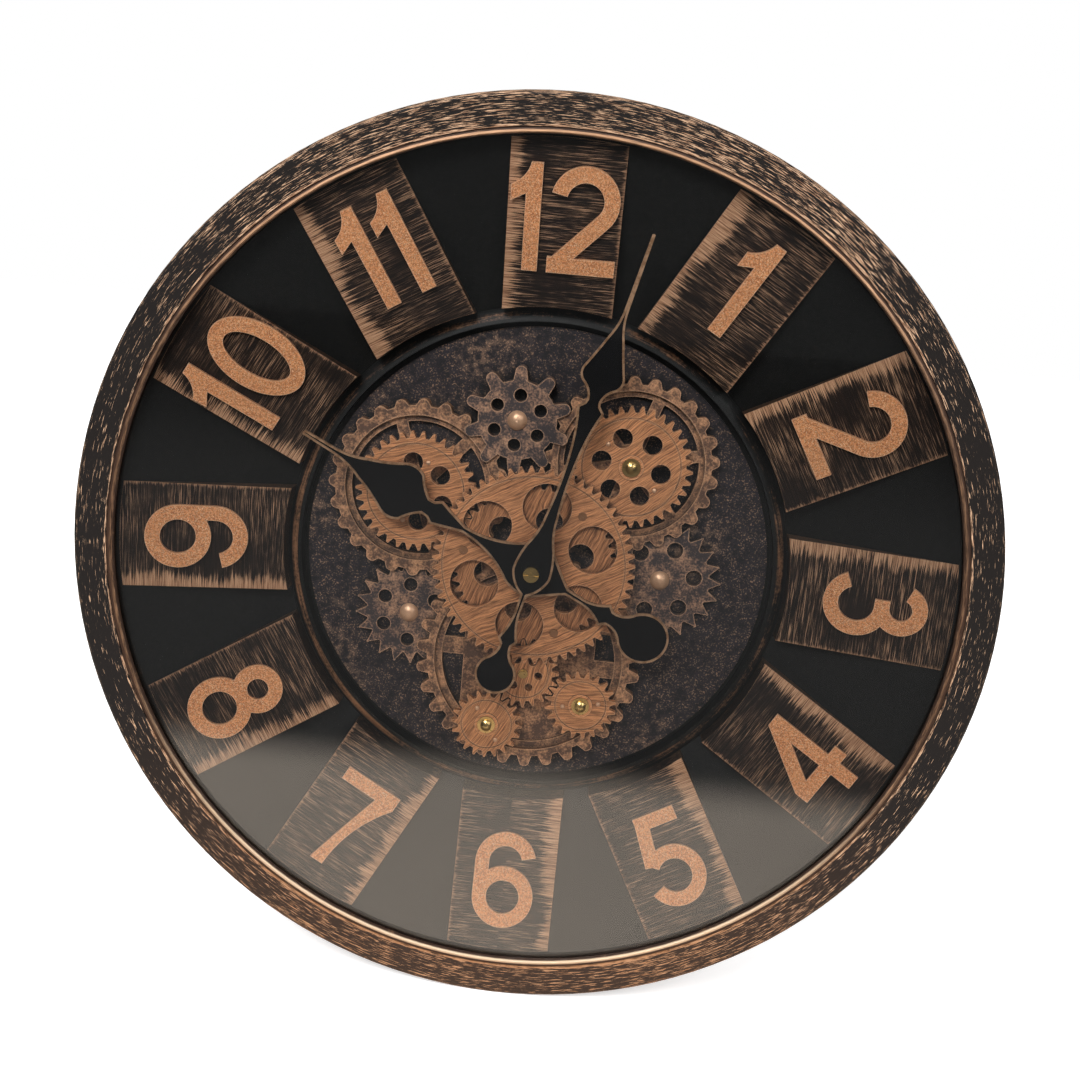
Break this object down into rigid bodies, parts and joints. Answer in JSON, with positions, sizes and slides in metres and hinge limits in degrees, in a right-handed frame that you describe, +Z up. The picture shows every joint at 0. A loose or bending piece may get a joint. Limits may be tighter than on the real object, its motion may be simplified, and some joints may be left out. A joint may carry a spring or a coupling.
{
  "type": "moving gear wall clock",
  "caption": "Round glass-fronted wall clock in dry-brushed black and bronze, with raised numerals on wedge plates, moving wooden gears on a relief disc and two needle hands.",
  "frame": {"origin": "centre of the wall plane behind the dial, on the axis of the hands", "axes": "+X to the right and +Z up as seen from the front, front faces -Y, wall plane at y = 0"},
  "size_m": [0.53, 0.0802, 0.53],
  "materials": {
    "back_panel": "painted board",
    "back_screws": "plain",
    "bead_ring": "bronze",
    "bezel_ring": "black with dry-brushed bronze",
    "case_screws": "plain",
    "center_bush": "turned",
    "center_disc": "dark speckled",
    "center_front_wheel": "warm stained grain",
    "center_hub": "bronze",
    "center_nut": "polished",
    "center_rear_wheel": "warm stained grain",
    "center_wheel_rivets": "bronze",
    "circuit_board": "laminate",
    "clock_battery": "satin sleeve",
    "clock_battery_contacts": "plain",
    "dial_body": "satin near-black with bronze lip",
    "dial_screws": "plain",
    "disc_screws": "plain",
    "dome_caps": "pale bronze",
    "drive_bush": "turned",
    "drive_shaft": "polished",
    "drive_wheel": "warm stained grain",
    "gear_battery": "satin sleeve",
    "gear_battery_contacts": "plain",
    "gear_case_back": "moulded",
    "gear_case_front": "moulded",
    "gear_motor": "plain",
    "gear_switch": "moulded",
    "glass_lens": "clear",
    "hand_nut": "polished",
    "hanger_plate": "plain",
    "hanger_screws": "plain",
    "hour_hand": "satin black with bronze rim",
    "hour_wheel": "turned",
    "lower_left_wheel": "warm stained grain",
    "lower_right_wheel": "warm stained grain",
    "minute_arbor": "turned",
    "minute_hand": "satin black with bronze rim",
    "minute_wheel": "moulded",
    "movement_back_case": "moulded",
    "movement_front_case": "moulded",
    "narrow_washers": "polished",
    "number_plates": "black-brown grain with dry-brushed bronze edges",
    "numerals": "hammered bronze",
    "relief_cog_left": "dark with bronze edges",
    "relief_cog_right": "dark with bronze edges",
    "relief_cog_top": "dark with bronze edges",
    "relief_ring_bottom": "aged bronze",
    "relief_ring_left": "aged bronze",
    "relief_ring_right": "aged bronze",
    "setting_knob": "moulded",
    "step_coil": "wound copper",
    "switch_body": "moulded",
    "upper_left_wheel": "warm stained grain",
    "upper_right_wheel": "warm stained grain",
    "wheel_nuts": "polished",
    "wheel_posts": "turned",
    "wheel_spacers": "turned",
    "wide_washers": "warm stained grain"
  },
  "bodies": {
    "clock_case": {"back_panel": "back_panel", "back_screws": "back_screws", "bead_ring": "bead_ring", "bezel_ring": "bezel_ring", "case_screws": "case_screws", "center_bush": "center_bush", "center_disc": "center_disc", "center_nut": "center_nut", "circuit_board": "circuit_board", "clock_battery": "clock_battery", "clock_battery_contacts": "clock_battery_contacts", "dial_body": "dial_body", "dial_screws": "dial_screws", "disc_screws": "disc_screws", "dome_caps": "dome_caps", "drive_bush": "drive_bush", "gear_battery": "gear_battery", "gear_battery_contacts": "gear_battery_contacts", "gear_case_back": "gear_case_back", "gear_case_front": "gear_case_front", "gear_motor": "gear_motor", "glass_lens": "glass_lens", "hanger_plate": "hanger_plate", "hanger_screws": "hanger_screws", "movement_back_case": "movement_back_case", "movement_front_case": "movement_front_case", "narrow_washers": "narrow_washers", "number_plates": "number_plates", "numerals": "numerals", "relief_cog_left": "relief_cog_left", "relief_cog_right": "relief_cog_right", "relief_cog_top": "relief_cog_top", "relief_ring_bottom": "relief_ring_bottom", "relief_ring_left": "relief_ring_left", "relief_ring_right": "relief_ring_right", "step_coil": "step_coil", "switch_body": "switch_body", "wheel_nuts": "wheel_nuts", "wheel_posts": "wheel_posts", "wheel_spacers": "wheel_spacers", "wide_washers": "wide_washers"},
    "minute_hand_set": {"minute_arbor": "minute_arbor", "minute_hand": "minute_hand", "hand_nut": "hand_nut"},
    "hour_hand_set": {"hour_wheel": "hour_wheel", "hour_hand": "hour_hand"},
    "minute_wheel_set": {"minute_wheel": "minute_wheel"},
    "setting_knob_set": {"setting_knob": "setting_knob"},
    "center_wheel_set": {"center_front_wheel": "center_front_wheel", "center_rear_wheel": "center_rear_wheel", "center_hub": "center_hub", "center_wheel_rivets": "center_wheel_rivets"},
    "upper_left_set": {"upper_left_wheel": "upper_left_wheel"},
    "upper_right_set": {"upper_right_wheel": "upper_right_wheel"},
    "lower_left_set": {"lower_left_wheel": "lower_left_wheel"},
    "lower_right_set": {"lower_right_wheel": "lower_right_wheel"},
    "drive_wheel_set": {"drive_wheel": "drive_wheel", "drive_shaft": "drive_shaft"},
    "gear_switch_set": {"gear_switch": "gear_switch"}
  },
  "joints": [
    {"name": "minute_hand_turn", "type": "hinge", "parent": "clock_case", "child": "minute_hand_set", "pos_m": [0, -0.0624, 0], "axis": [0, 1, 0], "continuous": true},
    {"name": "hour_hand_turn", "type": "hinge", "parent": "clock_case", "child": "hour_hand_set", "pos_m": [0, -0.0549, 0], "axis": [0, 1, 0], "continuous": true},
    {"name": "minute_wheel_turn", "type": "hinge", "parent": "clock_case", "child": "minute_wheel_set", "pos_m": [-0.01, -0.0168, 0], "axis": [0, 1, 0], "continuous": true},
    {"name": "setting_knob_turn", "type": "hinge", "parent": "clock_case", "child": "setting_knob_set", "pos_m": [0, -0.0045, 0.009], "axis": [0, 1, 0], "continuous": true},
    {"name": "center_wheel_turn", "type": "hinge", "parent": "clock_case", "child": "center_wheel_set", "pos_m": [0, -0.045, 0], "axis": [0, 1, 0], "continuous": true},
    {"name": "upper_left_turn", "type": "hinge", "parent": "clock_case", "child": "upper_left_set", "pos_m": [-0.07379, -0.04, 0.0376], "axis": [0, 1, 0], "continuous": true},
    {"name": "upper_right_turn", "type": "hinge", "parent": "clock_case", "child": "upper_right_set", "pos_m": [0.05167, -0.04, 0.06473], "axis": [0, 1, 0], "continuous": true},
    {"name": "drive_wheel_turn", "type": "hinge", "parent": "clock_case", "child": "drive_wheel_set", "pos_m": [-0.00048, -0.04, -0.06868], "axis": [0, 1, 0], "continuous": true},
    {"name": "lower_left_turn", "type": "hinge", "parent": "clock_case", "child": "lower_left_set", "pos_m": [-0.02019, -0.04, -0.10394], "axis": [0, 1, 0], "continuous": true},
    {"name": "lower_right_turn", "type": "hinge", "parent": "clock_case", "child": "lower_right_set", "pos_m": [0.03631, -0.04, -0.08537], "axis": [0, 1, 0], "continuous": true},
    {"name": "gear_switch_slide", "type": "slide", "parent": "clock_case", "child": "gear_switch_set", "axis": [1, 0, 0], "range_m": [0, 0.004]}
  ],
  "couplings": [
    {"joint": "hour_hand_turn", "follows": "minute_hand_turn", "ratio": 0.083333},
    {"joint": "minute_wheel_turn", "follows": "minute_hand_turn", "ratio": -0.33333},
    {"joint": "setting_knob_turn", "follows": "minute_hand_turn", "ratio": -2},
    {"joint": "upper_left_turn", "follows": "center_wheel_turn", "ratio": -1.4118},
    {"joint": "upper_right_turn", "follows": "center_wheel_turn", "ratio": -1.4118},
    {"joint": "drive_wheel_turn", "follows": "center_wheel_turn", "ratio": -2.4},
    {"joint": "lower_left_turn", "follows": "center_wheel_turn", "ratio": 2.4},
    {"joint": "lower_right_turn", "follows": "center_wheel_turn", "ratio": 2.4}
  ]
}
